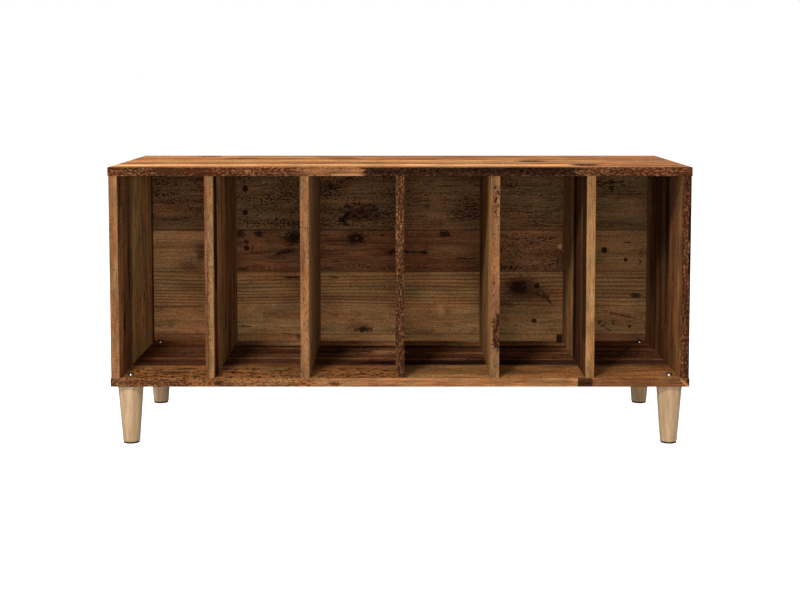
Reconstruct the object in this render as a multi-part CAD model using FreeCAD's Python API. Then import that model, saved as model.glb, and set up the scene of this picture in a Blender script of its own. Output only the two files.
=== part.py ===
"""Open record cabinet: a chipboard carcass of six upright bays on four turned wooden legs.

Millimetres, +Z up. The origin is on the floor under the middle of the cabinet, and its open
front faces -Y. Every panel is a decor-faced chipboard core with glued edge bands. The carcass
is joined by dowels, by cam fittings under the top and by long screws up through the bottom,
and the back slides in grooves.
"""

import FreeCAD, Part
import math
import os

Vector = FreeCAD.Vector
X_AXIS = Vector(1, 0, 0)
Y_AXIS = Vector(0, 1, 0)
Z_AXIS = Vector(0, 0, 1)

# Carcass
width = 1000.0
depth = 380.0
carcass_height = 380.0
board = 15.0
bays = 6
side_inset = 1.0
front_inset = 1.0

# Edge bands
edge_band = 1.0
band_round = 0.5

# Back panel in its grooves
back_thickness = 5.0
back_setback = 10.0
groove_depth = 6.0
groove_clearance = 0.2
back_edge_clearance = 0.5

# Screws that hold the back to the dividers
back_screw_rows = 3
back_screw_diameter = 3.5
back_screw_length = 20.0
back_screw_tip = 3.0
back_screw_head_diameter = 7.0
back_screw_head_height = 2.2
back_screw_slot_length = 4.4
back_screw_slot_width = 0.9
back_screw_slot_depth = 1.2

# Legs and their glides
leg_height = 101.0
leg_top_diameter = 45.0
leg_foot_diameter = 29.0
leg_foot_round = 1.2
glide_thickness = 3.0
glide_margin = 0.6
glide_round = 0.6
glide_pin_diameter = 3.0
glide_pin_length = 14.0
glide_pin_point = 3.0

# Bolts that hold the legs, and the threaded inserts that they turn into
leg_bolt_diameter = 6.0
leg_bolt_head_diameter = 12.0
leg_bolt_head_height = 4.5
leg_bolt_wall_gap = 8.0
leg_bolt_socket_flats = 4.0
leg_bolt_socket_depth = 2.4
leg_bolt_end_gap = 2.0
leg_bolt_end_chamfer = 0.8
insert_diameter = 10.0
insert_length = 18.0
insert_rib = 0.8
insert_ribs = 5

# Fixing lines across the uprights
fixing_setback = 50.0
dowel_offset = 32.0

# Wood dowels
dowel_diameter = 8.0
dowel_length = 30.0
dowel_web = 4.0
dowel_chamfer = 1.0

# Cam fittings under the top
cam_diameter = 15.0
cam_web = 3.0
cam_distance = 24.0
cam_drive_length = 8.0
cam_drive_width = 1.6
cam_drive_depth = 2.0
cam_bolt_diameter = 5.0
cam_bolt_web = 4.0
cam_bolt_collar_diameter = 7.0
cam_bolt_collar_height = 1.5
cam_bolt_neck_diameter = 3.6
cam_bolt_neck_length = 4.0
cam_bolt_head_diameter = 6.4
cam_bolt_head_length = 5.0
cam_slot_overshoot = 0.5
cam_cover_diameter = 20.0
cam_cover_thickness = 0.4

# Long screws up through the bottom into the uprights
long_screw_diameter = 7.0
long_screw_length = 50.0
long_screw_tip = 6.0
long_screw_head_diameter = 10.0
long_screw_head_height = 3.5
long_screw_socket_flats = 4.0
long_screw_socket_depth = 3.0

# Clearances of every round piece in its hole, on the radius and past its end
hole_clearance = 0.1
hole_end_gap = 0.3

# How far a cut runs past the face that it opens
cut_overrun = 1.0

# Levels and faces that the pieces share
left = -width / 2
right = width / 2
front = -depth / 2
rear = depth / 2
underside = glide_thickness + leg_height
floor = underside + board
top_face = underside + carcass_height
ceiling = top_face - board
inner_height = ceiling - floor
upright_front = front + front_inset
first_upright = left + side_inset
upright_pitch = (width - 2 * side_inset - board) / bays
groove_rear = rear - back_setback
groove_front = groove_rear - back_thickness - 2 * groove_clearance
back_front = groove_front + groove_clearance
back_rear = back_front + back_thickness
cam_depth = board - cam_web
dowel_in_face = board - dowel_web
dowel_in_end = dowel_length - dowel_in_face
cam_bolt_in_top = board - cam_bolt_web
cam_centre = ceiling - cam_distance
cam_slot_low = cam_centre - cam_bolt_head_length / 2 - cam_slot_overshoot
insert_depth = insert_length + leg_bolt_end_gap

# Lines that the fixings share, front and rear
fixing_lines = (upright_front + fixing_setback, back_front - fixing_setback)
dowel_lines = (fixing_lines[0] + dowel_offset, fixing_lines[1] - dowel_offset)

# The bolt of each leg needs room beside a side and the back, and the front legs mirror the rear.
bolt_room = leg_bolt_wall_gap + leg_bolt_head_diameter / 2
leg_x = right - side_inset - board - bolt_room
leg_y = back_front - bolt_room
leg_places = {
    "front_left": (-leg_x, -leg_y),
    "front_right": (leg_x, -leg_y),
    "rear_left": (-leg_x, leg_y),
    "rear_right": (leg_x, leg_y),
}


class Upright:
    """One of the standing panels, numbered from the left side (0) to the right side (bays)."""

    def __init__(self, number):
        self.outer = number in (0, bays)
        self.name = {0: "left_side", bays: "right_side"}.get(number, f"divider_{number}")
        self.left = first_upright + number * upright_pitch
        self.right = self.left + board
        self.middle = self.left + board / 2
        self.rear = rear if self.outer else back_front
        self.inward = 1 if 2 * number < bays else -1
        self.inner_face = self.middle + self.inward * board / 2
        # The cams open inside the cabinet on the two sides, and away from its middle on the dividers.
        self.cam_way = self.inward if self.outer else -self.inward
        self.cam_face = self.middle + self.cam_way * board / 2


uprights = [Upright(number) for number in range(bays + 1)]
dividers = [upright for upright in uprights if not upright.outer]
back_screw_levels = [
    floor + inner_height * (row + 1 / 2) / back_screw_rows for row in range(back_screw_rows)
]


def block(x_low, x_high, y_low, y_high, z_low, z_high):
    """A box between two corners."""
    corner = Vector(x_low, y_low, z_low)
    return Part.makeBox(x_high - x_low, y_high - y_low, z_high - z_low, corner)


def rod(diameter, length, start, axis=Z_AXIS):
    """A cylinder from a start point along an axis."""
    return Part.makeCylinder(diameter / 2, length, start, axis)


def turned(outline, place, axis=Z_AXIS):
    """A solid of revolution: outline holds (radius, height) points, closed along the axis."""
    points = [Vector(radius, 0, height) for radius, height in outline]
    wire = Part.makePolygon([*points, points[0]])
    solid = Part.Face(wire).revolve(Vector(), Z_AXIS, 360)
    solid.Placement = FreeCAD.Placement(place, FreeCAD.Rotation(Z_AXIS, axis))
    return solid


def hexagon(across_flats, length, start):
    """A hexagonal prism that stands on its start point."""
    corner_radius = across_flats / math.sqrt(3)
    corners = [
        start + Vector(corner_radius * math.cos(turn), corner_radius * math.sin(turn), 0)
        for turn in (math.radians(60 * corner) for corner in range(7))
    ]
    return Part.Face(Part.makePolygon(corners)).extrude(Z_AXIS * length)


def drilled(solid, holes):
    """The solid with every hole cut out of it."""
    return solid.cut(Part.makeCompound(holes))


def rounded(solid, radius, wanted):
    """The solid with the edges that wanted picks rounded off."""
    edges = [edge for edge in solid.Edges if wanted(edge)]
    return solid.makeFillet(radius, edges)


def runs_along(edge, axis):
    """Whether an edge of a block runs along an axis: its direction is either that axis or square to it."""
    return round(abs(edge.tangentAt(edge.FirstParameter).dot(axis))) == 1


def panel_core(z_low):
    """The bare core of the top or the bottom, inside its front and end bands."""
    return block(left + edge_band, right - edge_band, front + edge_band, rear, z_low, z_low + board)


def back_groove_across(z_low, z_high):
    """The groove for the back along the top or the bottom."""
    return block(left, right, groove_front, groove_rear, z_low, z_high)


def dowel_holes(depth_of_hole, z_low):
    """Upright holes for the dowels on every dowel line."""
    return [
        rod(dowel_diameter + 2 * hole_clearance, depth_of_hole, Vector(upright.middle, line, z_low))
        for upright in uprights
        for line in dowel_lines
    ]


def top_panel():
    """The top: a groove for the back, blind holes for the dowels and the cam bolts."""
    holes = dowel_holes(dowel_in_face + hole_end_gap, ceiling)
    holes.append(back_groove_across(ceiling - cut_overrun, ceiling + groove_depth))
    for upright in uprights:
        for line in fixing_lines:
            start = Vector(upright.middle, line, ceiling)
            bore = cam_bolt_diameter + 2 * hole_clearance
            holes.append(rod(bore, cam_bolt_in_top + hole_end_gap, start))
    return drilled(panel_core(ceiling), holes)


def long_screw_hole(x_place, y_place):
    """The countersunk hole through the bottom for one long screw."""
    bore = long_screw_diameter / 2 + hole_clearance
    head = long_screw_head_diameter / 2 + hole_clearance
    outline = [
        (0, -cut_overrun),
        (head, -cut_overrun),
        (head, 0),
        (bore, long_screw_head_height),
        (bore, board + cut_overrun),
        (0, board + cut_overrun),
    ]
    return turned(outline, Vector(x_place, y_place, underside))


def bottom_panel():
    """The bottom: a groove for the back, and holes for the dowels, long screws and leg bolts."""
    depth_of_hole = dowel_in_face + hole_end_gap
    holes = dowel_holes(depth_of_hole, floor - depth_of_hole)
    holes.append(back_groove_across(floor - groove_depth, floor + cut_overrun))
    holes += [
        long_screw_hole(upright.middle, line) for upright in uprights for line in fixing_lines
    ]
    for x_place, y_place in leg_places.values():
        start = Vector(x_place, y_place, underside - cut_overrun)
        bore = leg_bolt_diameter + 2 * hole_clearance
        holes.append(rod(bore, board + 2 * cut_overrun, start))
    return drilled(panel_core(underside), holes)


def upright_panel(upright):
    """A side or a divider, with the holes for its fixings and, on a side, the groove."""
    core = block(
        upright.left, upright.right, upright_front + edge_band, upright.rear, floor, ceiling
    )
    holes = []
    for line in dowel_lines:
        bore = dowel_diameter + 2 * hole_clearance
        depth_of_hole = dowel_in_end + hole_end_gap
        for level in (floor, ceiling - depth_of_hole):
            holes.append(rod(bore, depth_of_hole, Vector(upright.middle, line, level)))
    for line in fixing_lines:
        screw_bore = long_screw_diameter + 2 * hole_clearance
        screw_depth = long_screw_length - board + hole_end_gap
        holes.append(rod(screw_bore, screw_depth, Vector(upright.middle, line, floor)))
        bolt_bore = cam_bolt_collar_diameter + 2 * hole_clearance
        bolt_depth = ceiling - cam_slot_low
        holes.append(rod(bolt_bore, bolt_depth, Vector(upright.middle, line, cam_slot_low)))
        cam_mouth = Vector(upright.cam_face, line, cam_centre)
        cam_bore = cam_diameter + 2 * hole_clearance
        holes.append(rod(cam_bore, cam_depth, cam_mouth, X_AXIS * -upright.cam_way))
    if upright.outer:
        groove_floor = upright.inner_face - upright.inward * groove_depth
        groove_mouth = upright.inner_face + upright.inward * cut_overrun
        x_low, x_high = sorted((groove_floor, groove_mouth))
        holes.append(block(x_low, x_high, groove_front, groove_rear, floor, ceiling))
    else:
        for level in back_screw_levels:
            start = Vector(upright.middle, back_front, level)
            bore = back_screw_diameter + 2 * hole_clearance
            depth_of_hole = back_screw_length - back_thickness + hole_end_gap
            holes.append(rod(bore, depth_of_hole, start, -Y_AXIS))
    return drilled(core, holes)


def long_band(z_low):
    """The band on the whole front edge of the top or the bottom."""
    strip = block(left, right, front, front + edge_band, z_low, z_low + board)
    middle = front + edge_band / 2
    return rounded(
        strip, band_round, lambda edge: runs_along(edge, X_AXIS) and edge.CenterOfMass.y < middle
    )


def end_band(z_low, x_outer, way):
    """The band on an end of the top or the bottom; way points out of that end."""
    x_low, x_high = sorted((x_outer, x_outer - way * edge_band))
    middle = (x_low + x_high) / 2
    strip = block(x_low, x_high, front + edge_band, rear, z_low, z_low + board)
    return rounded(
        strip,
        band_round,
        lambda edge: runs_along(edge, Y_AXIS) and (edge.CenterOfMass.x - middle) * way > 0,
    )


def upright_band(upright):
    """The band on the front edge of a side or a divider."""
    y_high = upright_front + edge_band
    middle = upright_front + edge_band / 2
    strip = block(upright.left, upright.right, upright_front, y_high, floor, ceiling)
    return rounded(
        strip, band_round, lambda edge: runs_along(edge, Z_AXIS) and edge.CenterOfMass.y < middle
    )


def back_panel():
    """The thin back, standing in the bottom groove, with a hole for each of its screws."""
    reach = groove_depth - back_edge_clearance
    x_low = uprights[0].inner_face - reach
    x_high = uprights[-1].inner_face + reach
    sheet = block(x_low, x_high, back_front, back_rear, floor - groove_depth, ceiling + reach)
    bore = back_screw_diameter + 2 * hole_clearance
    holes = [
        rod(bore, back_thickness, Vector(divider.middle, back_front, level), Y_AXIS)
        for divider in dividers
        for level in back_screw_levels
    ]
    return drilled(sheet, holes)


def back_screw(x_place, level):
    """A pan-head screw with a cross recess, driven forwards through the back."""
    core = back_screw_diameter / 2
    head = back_screw_head_diameter / 2
    outline = [
        (0, -back_screw_length),
        (core, back_screw_tip - back_screw_length),
        (core, 0),
        (head, 0),
        (head, back_screw_head_height / 2),
        (head - back_screw_head_height / 2, back_screw_head_height),
        (0, back_screw_head_height),
    ]
    screw = turned(outline, Vector(x_place, back_rear, level), Y_AXIS)
    y_high = back_rear + back_screw_head_height
    y_low = y_high - back_screw_slot_depth
    arm, half = back_screw_slot_length / 2, back_screw_slot_width / 2
    slots = [
        block(x_place - across, x_place + across, y_low, y_high, level - along, level + along)
        for across, along in ((arm, half), (half, arm))
    ]
    return drilled(screw, slots)


def back_panel_screws():
    """All the screws of the back, one row of levels on each divider."""
    return [
        back_screw(divider.middle, level) for divider in dividers for level in back_screw_levels
    ]


def leg(x_place, y_place):
    """A straight tapered leg with a bore for its insert and one for the pin of its glide."""
    start = Vector(x_place, y_place, glide_thickness)
    cone = Part.makeCone(leg_foot_diameter / 2, leg_top_diameter / 2, leg_height, start)
    foot_level = glide_thickness + leg_foot_round
    cone = rounded(cone, leg_foot_round, lambda edge: edge.BoundBox.ZMax < foot_level)
    insert_bore = insert_diameter + 2 * (insert_rib + hole_clearance)
    pin_bore = glide_pin_diameter + 2 * hole_clearance
    holes = [
        rod(insert_bore, insert_depth, Vector(x_place, y_place, underside - insert_depth)),
        rod(pin_bore, glide_pin_length + hole_end_gap, start),
    ]
    return drilled(cone, holes)


def glide(x_place, y_place):
    """A moulded glide: a round pad with a pointed pin up into the leg."""
    pad = leg_foot_diameter / 2 - glide_margin
    pin = glide_pin_diameter / 2
    pin_end = glide_thickness + glide_pin_length
    outline = [
        (0, 0),
        (pad - glide_round, 0),
        (pad, glide_round),
        (pad, glide_thickness),
        (pin, glide_thickness),
        (pin, pin_end - glide_pin_point),
        (0, pin_end),
    ]
    return turned(outline, Vector(x_place, y_place, 0))


def leg_bolt(x_place, y_place):
    """A bolt with a domed socket head that stands on the floor of the outer bays."""
    head = leg_bolt_head_diameter / 2
    half_angle = math.atan2(leg_bolt_head_height, head)
    dome_radius = head / math.sin(2 * half_angle)
    shoulder_height = dome_radius * (math.cos(half_angle) - math.cos(2 * half_angle))
    shoulder = Vector(dome_radius * math.sin(half_angle), 0, shoulder_height)
    rim, crown = Vector(head, 0, 0), Vector(0, 0, leg_bolt_head_height)
    dome = Part.Wire([
        Part.LineSegment(Vector(), rim).toShape(),
        Part.Arc(rim, shoulder, crown).toShape(),
        Part.LineSegment(crown, Vector()).toShape(),
    ])
    seat = Vector(x_place, y_place, floor)
    cap = Part.Face(dome).revolve(Vector(), Z_AXIS, 360)
    cap.translate(seat)
    shank = leg_bolt_diameter / 2
    reach = board + insert_length - leg_bolt_end_gap
    outline = [
        (0, -reach),
        (shank - leg_bolt_end_chamfer, -reach),
        (shank, leg_bolt_end_chamfer - reach),
        (shank, 0),
        (0, 0),
    ]
    bolt = cap.fuse(turned(outline, seat)).removeSplitter()
    socket_floor = seat + Z_AXIS * (leg_bolt_head_height - leg_bolt_socket_depth)
    return bolt.cut(hexagon(leg_bolt_socket_flats, leg_bolt_socket_depth, socket_floor))


def leg_insert(x_place, y_place):
    """A threaded insert, flush with the top of its leg, ribbed outside to grip the wood."""
    body = insert_diameter / 2
    bore = leg_bolt_diameter / 2 + hole_clearance
    rib_step = insert_length / insert_ribs
    outline = [(bore, 0)]
    for rib in range(insert_ribs):
        outline += [
            (body, rib * rib_step),
            (body + insert_rib, (rib + 1 / 2) * rib_step),
        ]
    outline += [(body, insert_length), (bore, insert_length)]
    return turned(outline, Vector(x_place, y_place, underside - insert_length))


def dowel(x_place, y_place, z_low):
    """A wood dowel with chamfered ends."""
    radius = dowel_diameter / 2
    outline = [
        (0, 0),
        (radius - dowel_chamfer, 0),
        (radius, dowel_chamfer),
        (radius, dowel_length - dowel_chamfer),
        (radius - dowel_chamfer, dowel_length),
        (0, dowel_length),
    ]
    return turned(outline, Vector(x_place, y_place, z_low))


def dowels(z_low):
    """The dowels at one end of all the uprights."""
    return [dowel(upright.middle, line, z_low) for upright in uprights for line in dowel_lines]


def cam_bolt(x_place, y_place):
    """The bolt of a cam fitting: thread in the top, collar, shank, neck and head in the cam."""
    thread = cam_bolt_diameter / 2
    collar = cam_bolt_collar_diameter / 2
    neck = cam_bolt_neck_diameter / 2
    head = cam_bolt_head_diameter / 2
    head_low = -cam_distance - cam_bolt_head_length / 2
    head_high = head_low + cam_bolt_head_length
    outline = [
        (0, head_low),
        (neck, head_low),
        (head, head_low + (head - neck)),
        (head, head_high),
        (neck, head_high),
        (neck, head_high + cam_bolt_neck_length),
        (thread, head_high + cam_bolt_neck_length),
        (thread, -cam_bolt_collar_height),
        (collar, -cam_bolt_collar_height),
        (collar, 0),
        (thread, 0),
        (thread, cam_bolt_in_top - thread),
        (0, cam_bolt_in_top),
    ]
    return turned(outline, Vector(x_place, y_place, ceiling))


def cam_lock(upright, line):
    """The round cam in the face of an upright, slotted from above for the head of its bolt."""
    inward = X_AXIS * -upright.cam_way
    mouth = Vector(upright.cam_face, line, cam_centre)
    disc = rod(cam_diameter, cam_depth, mouth, inward)
    slot_bore = cam_bolt_head_diameter + 2 * hole_clearance
    slot_start = Vector(upright.middle, line, cam_slot_low)
    slot = rod(slot_bore, ceiling - cam_slot_low, slot_start)
    drive_end = upright.cam_face - upright.cam_way * cam_drive_depth
    x_low, x_high = sorted((upright.cam_face, drive_end))
    arm, half = cam_drive_length / 2, cam_drive_width / 2
    drives = [
        block(x_low, x_high, line - across, line + across, cam_centre - along, cam_centre + along)
        for across, along in ((arm, half), (half, arm))
    ]
    return drilled(disc, [slot, *drives])


def cam_cover(upright, line):
    """The stick-on decor disc over a cam."""
    start = Vector(upright.cam_face, line, cam_centre)
    return rod(cam_cover_diameter, cam_cover_thickness, start, X_AXIS * upright.cam_way)


def long_screw(x_place, y_place):
    """A countersunk screw with a hexagon socket, up through the bottom into an upright."""
    core = long_screw_diameter / 2
    outline = [
        (0, 0),
        (long_screw_head_diameter / 2, 0),
        (core, long_screw_head_height),
        (core, long_screw_length - long_screw_tip),
        (0, long_screw_length),
    ]
    place = Vector(x_place, y_place, underside)
    socket = hexagon(long_screw_socket_flats, long_screw_socket_depth, place)
    return turned(outline, place).cut(socket)


def all_nodes():
    """Every named piece of the cabinet, as a list of its solids."""
    nodes = {
        "top_panel": [top_panel()],
        "bottom_panel": [bottom_panel()],
        "back_panel": [back_panel()],
        "back_panel_screws": back_panel_screws(),
        "top_dowels": dowels(ceiling - dowel_in_end),
        "bottom_dowels": dowels(floor - dowel_in_face),
    }
    for panel, z_low in (("top", ceiling), ("bottom", underside)):
        nodes[f"{panel}_front_band"] = [long_band(z_low)]
        nodes[f"{panel}_left_end_band"] = [end_band(z_low, left, -1)]
        nodes[f"{panel}_right_end_band"] = [end_band(z_low, right, 1)]
    for upright in uprights:
        nodes[f"{upright.name}_panel"] = [upright_panel(upright)]
        nodes[f"{upright.name}_front_band"] = [upright_band(upright)]
    fixings = [(upright, line) for upright in uprights for line in fixing_lines]
    nodes["cam_locks"] = [cam_lock(upright, line) for upright, line in fixings]
    nodes["cam_covers"] = [cam_cover(upright, line) for upright, line in fixings]
    nodes["cam_bolts"] = [cam_bolt(upright.middle, line) for upright, line in fixings]
    nodes["long_screws"] = [long_screw(upright.middle, line) for upright, line in fixings]
    for corner, place in leg_places.items():
        nodes[f"leg_{corner}"] = [leg(*place)]
        nodes[f"glide_{corner}"] = [glide(*place)]
    nodes["leg_bolts"] = [leg_bolt(*place) for place in leg_places.values()]
    nodes["leg_inserts"] = [leg_insert(*place) for place in leg_places.values()]
    return nodes


def main():
    os.makedirs("parts", exist_ok=True)
    for name, solids in all_nodes().items():
        shape = solids[0] if len(solids) == 1 else Part.makeCompound(solids)
        shape.exportStep(f"parts/{name}.step")


main()
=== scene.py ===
import math

import bmesh
import bpy
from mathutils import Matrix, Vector


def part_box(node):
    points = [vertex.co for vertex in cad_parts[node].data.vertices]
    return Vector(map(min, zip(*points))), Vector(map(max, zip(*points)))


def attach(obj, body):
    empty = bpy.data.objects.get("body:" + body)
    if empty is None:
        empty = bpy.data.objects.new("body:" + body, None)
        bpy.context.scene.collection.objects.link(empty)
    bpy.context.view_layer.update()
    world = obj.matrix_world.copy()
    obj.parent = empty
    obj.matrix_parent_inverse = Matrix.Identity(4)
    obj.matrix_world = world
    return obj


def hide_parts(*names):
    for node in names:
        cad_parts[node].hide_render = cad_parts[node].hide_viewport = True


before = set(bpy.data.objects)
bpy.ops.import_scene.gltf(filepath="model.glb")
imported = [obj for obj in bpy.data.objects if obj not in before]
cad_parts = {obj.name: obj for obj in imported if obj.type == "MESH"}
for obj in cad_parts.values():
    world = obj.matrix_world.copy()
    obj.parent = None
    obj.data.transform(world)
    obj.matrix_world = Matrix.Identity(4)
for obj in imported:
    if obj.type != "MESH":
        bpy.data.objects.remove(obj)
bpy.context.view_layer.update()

scene = bpy.context.scene
# Prints and grains are laid out in millimetres, meshes in metres
PER_METRE = 1000.0

# Tones of the old-wood print, from its palest board to the black of its holes; UMBER and PITCH also paint shade along
# two corners where a wall meets the back
FAWN = "aa8152"
GINGER = "996745"
CEDAR = "815538"
OLIVE = "805e3e"
HONEY = "7c5435"
STRAW = "785838"
RUSSET = "71482f"
TAN = "6d4b2e"
BARK = "63462d"
SIENNA = "64432c"
RUST = "5a3724"
WALNUT = "5a3823"
UMBER = "3a2115"
PITCH = "170b06"


def hex_color(code):
    """An sRGB hex colour as linear red, green, blue and alpha."""
    parts = [int(code[place:place + 2], 16) / 255 for place in (0, 2, 4)]
    return [part / 12.92 if part <= 0.04045 else ((part + 0.055) / 1.055) ** 2.4 for part in parts] + [1.0]


# What the mode of a node is called, where it isn't an operation
MODES = {"Mix": "data_type", "MapRange": "interpolation_type"}


def span(low, high, low_gives=0.0, high_gives=1.0):
    """The two ends of a range and what they give."""
    return {"From Min": low, "From Max": high, "To Min": low_gives, "To Max": high_gives}


def fill(tree, node, links):
    """Fills a node's inputs, in order or by name, with values or with links from the first outputs in use."""
    for place, value in links.items() if isinstance(links, dict) else enumerate(links):
        if isinstance(value, bpy.types.Node):
            value = next(socket for socket in value.outputs if socket.enabled)
        if isinstance(value, bpy.types.NodeSocket):
            tree.links.new(value, node.inputs[place])
        else:
            node.inputs[place].default_value = value


def add(tree, kind, links=(), **settings):
    """Adds one node with its settings and links. A bare kind is a shader node's, and a mode may follow it."""
    kind, *mode = kind.split()
    settings.update((MODES.get(kind, "operation"), word) for word in mode)
    node = tree.nodes.new(kind if "Node" in kind else "ShaderNode" + kind)
    for name, value in settings.items():
        setattr(node, name, value)
    fill(tree, node, links)
    return node


def new_group(name, kind, inputs, outputs):
    """An empty node group: the tree, the sockets it is given and the node that takes its result."""
    tree = bpy.data.node_groups.new(name, kind)
    for way, sockets in (("INPUT", inputs), ("OUTPUT", outputs)):
        for label, socket in sockets.items():
            tree.interface.new_socket(label, in_out=way, socket_type="NodeSocket" + socket)
    return tree, tree.nodes.new("NodeGroupInput").outputs, tree.nodes.new("NodeGroupOutput")


def new_material(name):
    """A node material, with its tree and its shader."""
    material = bpy.data.materials.new(name)
    material.use_nodes = True
    return material, material.node_tree, material.node_tree.nodes["Principled BSDF"]


# A soft-edged rectangle of the print, also used for painted shade, in millimetres along and across the grain
patch, given, result = new_group("print_patch", "ShaderNodeTree", {
    "Point": "Vector", "Centre": "Vector", "Half size": "Vector", "Softness": "Float",
}, {"Mask": "Float"})
away = add(patch, "VectorMath SUBTRACT", [given["Point"], given["Centre"]])
away = add(patch, "VectorMath ABSOLUTE", [away])
past = add(patch, "VectorMath SUBTRACT", [away, given["Half size"]])
parts = [add(patch, "VectorMath DOT_PRODUCT", [past, way]) for way in ((1, 0, 0), (0, 1, 0))]
past = add(patch, "Math MAXIMUM", parts)
inside = add(patch, "Math MULTIPLY", [given["Softness"], -1.0])
fade = add(patch, "MapRange SMOOTHSTEP", {"Value": past, **span(inside, given["Softness"], 1.0, 0.0)})
fill(patch, result, {"Mask": fade})

# A round or long spot with a ragged rim: a knot, a nail hole, a crack. Its rim fades out from the core's share of its
# size to a little past that size
RIM_END = 1.08
spot, given, result = new_group("print_spot", "ShaderNodeTree", {
    "Point": "Vector", "Centre": "Vector", "Along": "Vector", "Across": "Vector", "Rag": "Float",
    "Raggedness": "Float", "Core": "Float",
}, {"Mask": "Float"})
away = add(spot, "VectorMath SUBTRACT", [given["Point"], given["Centre"]])
parts = [add(spot, "VectorMath DOT_PRODUCT", [away, given[way]]) for way in ("Along", "Across")]
away = add(spot, "CombineXYZ", parts)
away = add(spot, "VectorMath LENGTH", [away])
rim = add(spot, "Math MULTIPLY_ADD", [given["Rag"], given["Raggedness"], away])
fade = add(spot, "MapRange SMOOTHSTEP", {"Value": rim, **span(given["Core"], RIM_END, 1.0, 0.0)})
fill(spot, result, {"Mask": fade})

# Weathered grain over a tone. The noises have their cell sizes in millimetres along, across and into the board:
# fibres are 2 mm wide, streaks 11 mm, worm pits 3 mm and stains 6 mm. Ridges are the dark lines of weathered
# softwood, the figure is the curved lines of a flat-sawn board, and dashes are short cracks along the grain
RIDGE_GAP, RIDGE_WANDER, FIGURE_RINGS = 7.4, 22.0, 11
grain, given, result = new_group("weathered_grain", "ShaderNodeTree", {
    "Point": "Vector", "Tone": "Color", "Contrast": "Float", "Pits": "Float", "Stains": "Float", "Ridges": "Float",
    "Figure": "Float", "Dashes": "Float", "Flecks": "Float",
}, {"Colour": "Color", "Height": "Float"})
noises = {}
for name, size, detail, roughness in (
    ("fibre", (60, 2.1, 10), 2.0, 0.5), ("streak", (300, 11, 10), 2.0, 0.5), ("cloud", (80, 26, 10), 2.0, 0.5),
    ("wander", (420, 70, 10), 1.0, 0.5), ("grit", (5.5, 2.4, 10), 2.0, 0.6), ("pit", (4.8, 2.8, 10), 3.0, 0.6),
    ("stain", (12, 5.6, 10), 5.0, 0.68), ("figure", (210, 30, 10), 1.0, 0.5), ("dash", (34, 2.6, 10), 1.0, 0.5),
):
    place = add(grain, "VectorMath DIVIDE", [given["Point"], size])
    noises[name] = add(grain, "TexNoise", {"Vector": place, "Scale": 1.0, "Detail": detail, "Roughness": roughness})
lines = add(grain, "Math ADD", [noises["fibre"], noises["streak"]])
lines = add(grain, "MapRange", {"Value": lines, **span(0.72, 1.28, -0.5, 0.5)})
lines = add(grain, "Math MULTIPLY_ADD", [lines, given["Contrast"], 0.5])
shade = add(grain, "Mix RGBA", {0: lines, 6: (0.46, 0.4, 0.35, 1), 7: (1.4, 1.4, 1.36, 1)})
cloud, grit = [
    add(grain, "MapRange", {"Value": noises[name], **span(0.3, 0.7, low, high)})
    for name, low, high in (("cloud", 0.4, 0.6), ("grit", 0.64, 1.36))
]
cloud = add(grain, "Math MULTIPLY", [cloud, grit])
cloud = add(grain, "Mix RGBA", {0: cloud, 6: (0, 0, 0, 1), 7: (2, 2, 2, 1)})
drift = add(grain, "SeparateColor", [noises["cloud"].outputs["Color"]])
hue = add(grain, "MapRange", {"Value": drift.outputs["Green"], **span(0.35, 0.65)})
hue = add(grain, "Mix RGBA", {0: hue, 6: (1.1, 0.96, 0.87, 1), 7: (0.93, 1.03, 1.04, 1)})
color = given["Tone"]
for change in (shade, cloud, hue):
    color = add(grain, "Mix RGBA", {0: 1.0, 6: color, 7: change}, blend_type="MULTIPLY")
across = add(grain, "VectorMath DOT_PRODUCT", [given["Point"], (0, 1, 0)])
wander = add(grain, "Math MULTIPLY_ADD", [noises["wander"], RIDGE_WANDER, across])
ripples = []
for wave, turns, low, high, amount in (
    (noises["figure"], FIGURE_RINGS, 0.3, 1.0, "Figure"), (wander, 1 / RIDGE_GAP, 0.2, 0.95, "Ridges"),
):
    wave = add(grain, "Math MULTIPLY", [wave, 2 * math.pi * turns])
    wave = add(grain, "Math SINE", [wave])
    wave = add(grain, "MapRange SMOOTHSTEP", {"Value": wave, **span(low, high)})
    ripples.append(add(grain, "Math MULTIPLY", [wave, given[amount]]))
ridge = add(grain, "Math MAXIMUM", [ripples[1], ripples[0]])
crowd = add(grain, "MapRange", {"Value": drift.outputs["Blue"], **span(0.36, 0.64, 0.66, 1.25)})
crowd = add(grain, "Math MULTIPLY", [given["Pits"], crowd])
hollows = []
for name, amount, first, reach, width in (
    ("pit", crowd, 0.7, -0.22, 0.07), ("dash", given["Dashes"], 0.77, -0.16, 0.06),
    ("stain", given["Stains"], 0.75, -0.4, 0.09),
):
    low = add(grain, "Math MULTIPLY_ADD", [amount, reach, first])
    high = add(grain, "Math ADD", [low, width])
    hollows.append(add(grain, "MapRange SMOOTHSTEP", {"Value": noises[name], **span(low, high, 0.0, 0.94)}))
pits, dashes, stains = hollows
for cover, share in ((ridge, (0.34, 0.28, 0.25, 1)), (stains, (0.2, 0.15, 0.13, 1))):
    color = add(grain, "Mix RGBA", {0: cover, 6: color, 7: share}, blend_type="MULTIPLY")
hollow = add(grain, "Math MAXIMUM", [pits, dashes])
fleck = add(grain, "MapRange SMOOTHSTEP", {"Value": noises["pit"], **span(0.36, 0.28)})
fleck = add(grain, "Math MULTIPLY", [fleck, given["Flecks"]])
for cover, tone in ((hollow, PITCH), (fleck, STRAW)):
    color = add(grain, "Mix RGBA", {0: cover, 6: color, 7: hex_color(tone)})
height = add(grain, "Math SUBTRACT", [lines, hollow])
height = add(grain, "Math SUBTRACT", [height, ridge])
fill(grain, result, {"Colour": color, "Height": height})
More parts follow.
